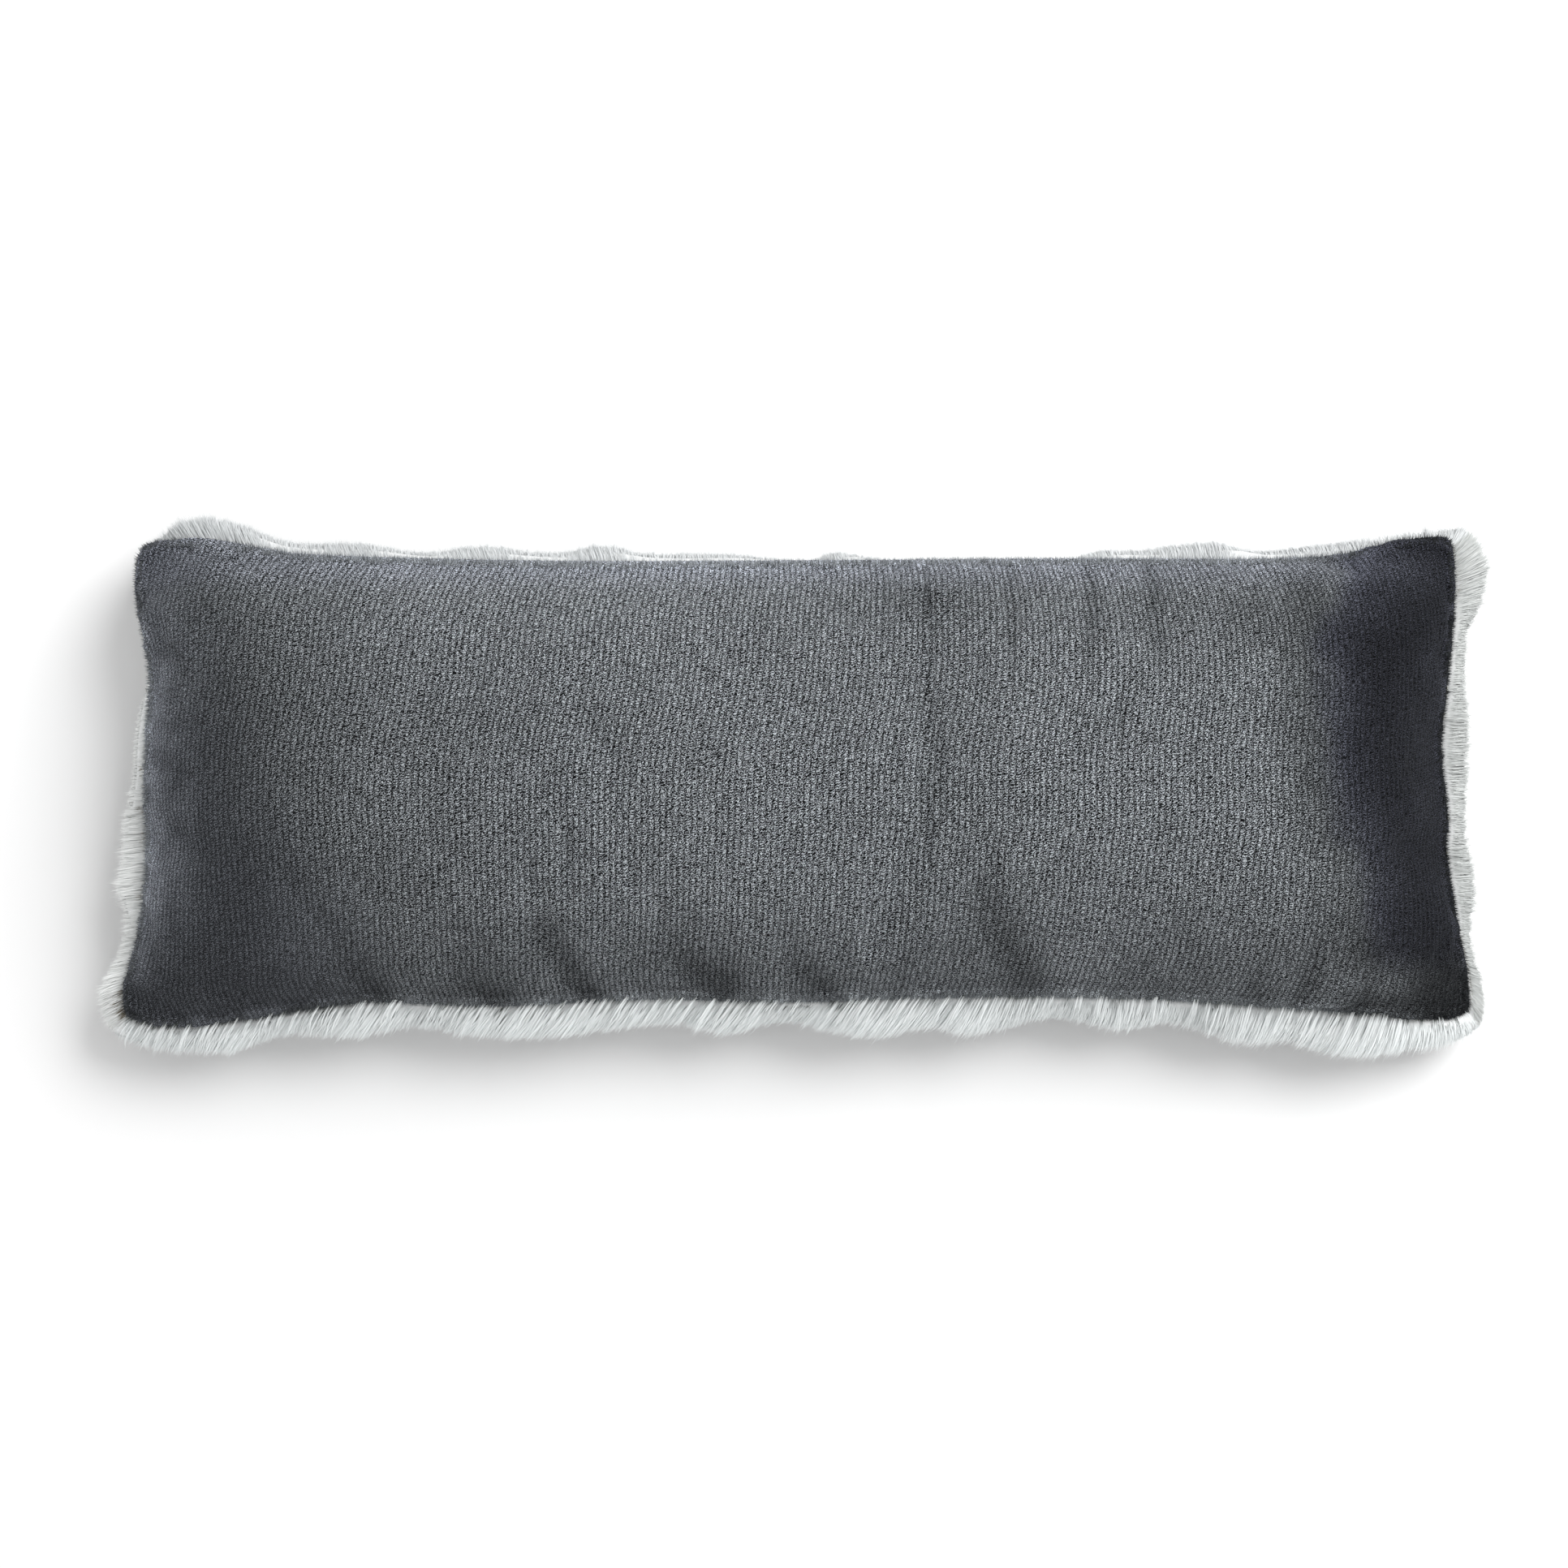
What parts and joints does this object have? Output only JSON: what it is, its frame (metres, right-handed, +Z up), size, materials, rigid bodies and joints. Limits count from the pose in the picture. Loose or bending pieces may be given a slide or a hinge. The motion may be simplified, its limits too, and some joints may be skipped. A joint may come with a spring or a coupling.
{
  "type": "oblong throw pillow",
  "caption": "Oblong lumbar pillow with a ribbed plush front and a long-haired faux fur back that stands out past the seam.",
  "frame": {"origin": "middle of the pillow's footprint, on the surface that it lies on", "axes": "+X along the pillow, +Y across it towards the side whose seam is tucked under, +Z up out of the plush face"},
  "size_m": [0.9014, 0.3512, 0.14],
  "materials": {
    "ribbed_plush": "dark grey short pile in fine ribs, soft sheen",
    "faux_fur": "pale cool grey long pile, matt"
  },
  "bodies": {
    "root": {"ribbed_plush_cushion": "ribbed_plush", "faux_fur_back": "faux_fur"}
  },
  "joints": []
}
